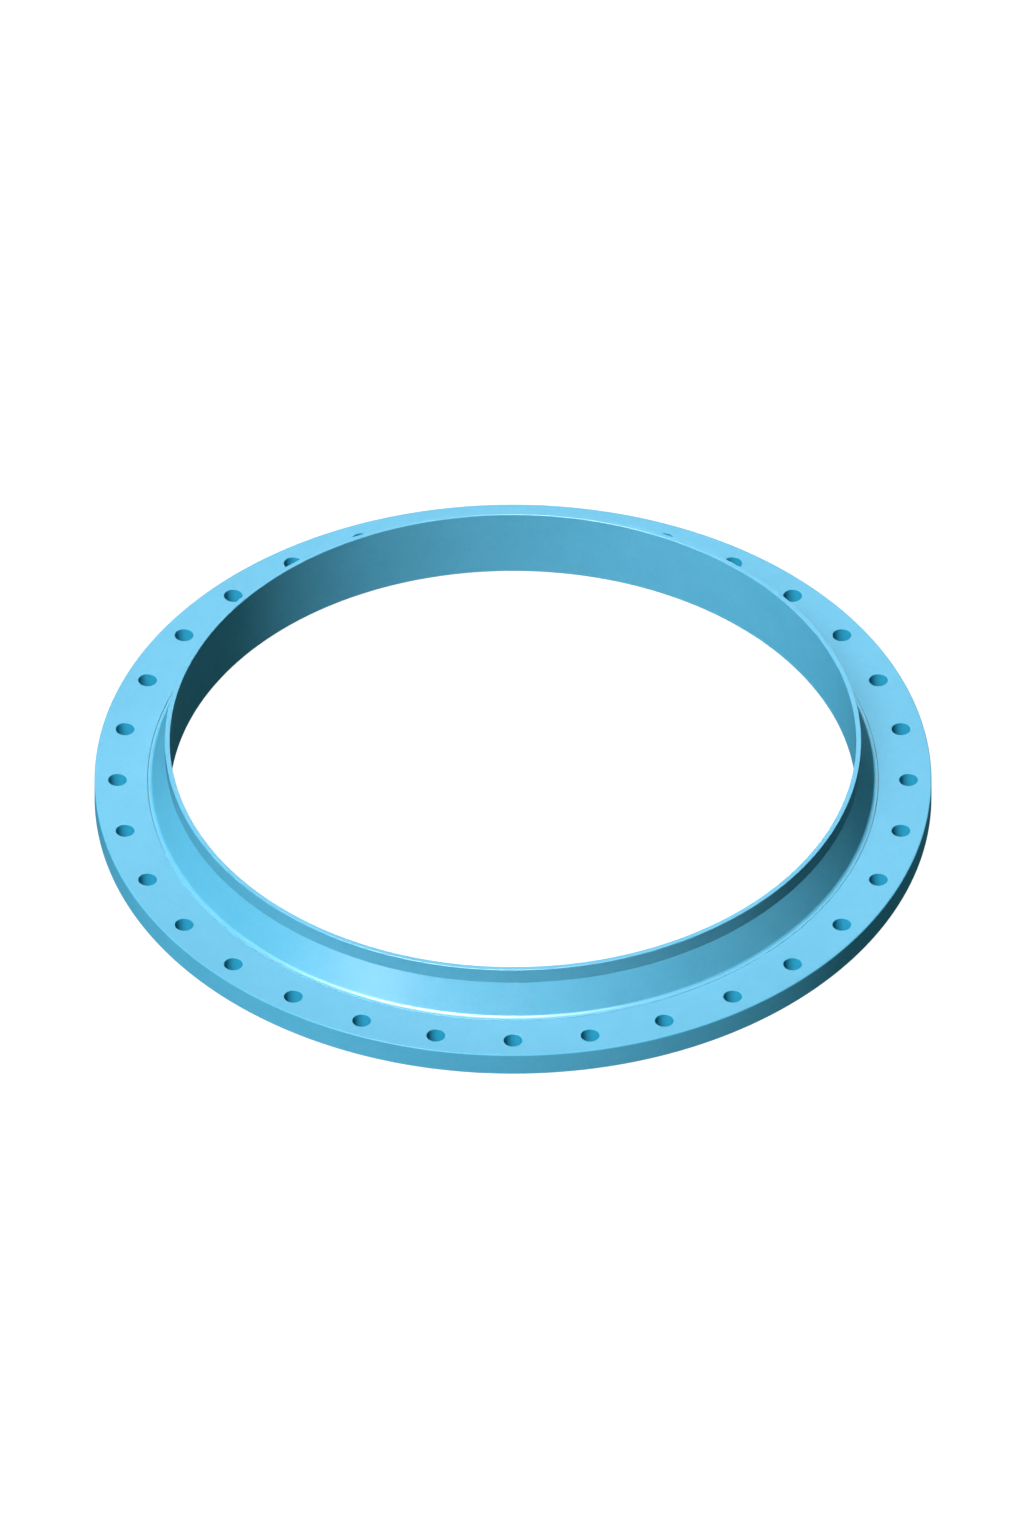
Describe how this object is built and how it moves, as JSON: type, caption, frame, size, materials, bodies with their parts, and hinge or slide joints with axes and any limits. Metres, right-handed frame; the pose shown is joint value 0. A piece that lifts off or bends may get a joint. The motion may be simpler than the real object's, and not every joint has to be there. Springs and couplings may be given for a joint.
{
  "type": "slewing ring bearing",
  "caption": "Single-row ball slewing ring with an L section: a flat bolted outer flange, and an inner ring that turns inside it and rises as a conical weld neck.",
  "frame": {"origin": "on the slewing axis, level with the bottom face of the bolted flange", "axes": "+Z along the slewing axis, from the flange towards the weld neck; one bolt hole lies on -Y and one on +X"},
  "size_m": [1, 1, 0.092],
  "materials": {
    "light_blue_paint": "semi-gloss enamel over machined steel",
    "ball_steel": "lapped bearing steel",
    "pin_steel": "ground steel",
    "polyamide": "moulded, natural colour",
    "nitrile_rubber": "matte",
    "brass": "turned"
  },
  "bodies": {
    "fixed_ring": {"outer_ring": "light_blue_paint", "upper_seal": "nitrile_rubber", "lower_seal": "nitrile_rubber", "filling_plug": "light_blue_paint", "plug_taper_pin": "pin_steel", "grease_nipple_right": "brass", "grease_nipple_left": "brass"},
    "ball_cage": {"cage_segment_1": "polyamide", "cage_segment_2": "polyamide", "cage_segment_3": "polyamide", "cage_segment_4": "polyamide", "ball_01": "ball_steel", "ball_02": "ball_steel", "ball_03": "ball_steel", "ball_04": "ball_steel", "ball_05": "ball_steel", "ball_06": "ball_steel", "ball_07": "ball_steel", "ball_08": "ball_steel", "ball_09": "ball_steel", "ball_10": "ball_steel", "ball_11": "ball_steel", "ball_12": "ball_steel", "ball_13": "ball_steel", "ball_14": "ball_steel", "ball_15": "ball_steel", "ball_16": "ball_steel", "ball_17": "ball_steel", "ball_18": "ball_steel", "ball_19": "ball_steel", "ball_20": "ball_steel", "ball_21": "ball_steel", "ball_22": "ball_steel", "ball_23": "ball_steel", "ball_24": "ball_steel", "ball_25": "ball_steel", "ball_26": "ball_steel", "ball_27": "ball_steel", "ball_28": "ball_steel", "ball_29": "ball_steel", "ball_30": "ball_steel", "ball_31": "ball_steel", "ball_32": "ball_steel", "ball_33": "ball_steel", "ball_34": "ball_steel", "ball_35": "ball_steel", "ball_36": "ball_steel", "ball_37": "ball_steel", "ball_38": "ball_steel", "ball_39": "ball_steel", "ball_40": "ball_steel", "ball_41": "ball_steel", "ball_42": "ball_steel", "ball_43": "ball_steel", "ball_44": "ball_steel", "ball_45": "ball_steel", "ball_46": "ball_steel", "ball_47": "ball_steel", "ball_48": "ball_steel"},
    "rotating_ring": {"inner_ring": "light_blue_paint"}
  },
  "joints": [
    {"name": "slew", "type": "hinge", "parent": "fixed_ring", "child": "rotating_ring", "pos_m": [0, 0, 0], "axis": [0, 0, 1], "continuous": true},
    {"name": "cage_orbit", "type": "hinge", "parent": "fixed_ring", "child": "ball_cage", "pos_m": [0, 0, 0], "axis": [0, 0, 1], "continuous": true}
  ],
  "couplings": [
    {"joint": "cage_orbit", "follows": "slew", "ratio": 0.4944}
  ]
}
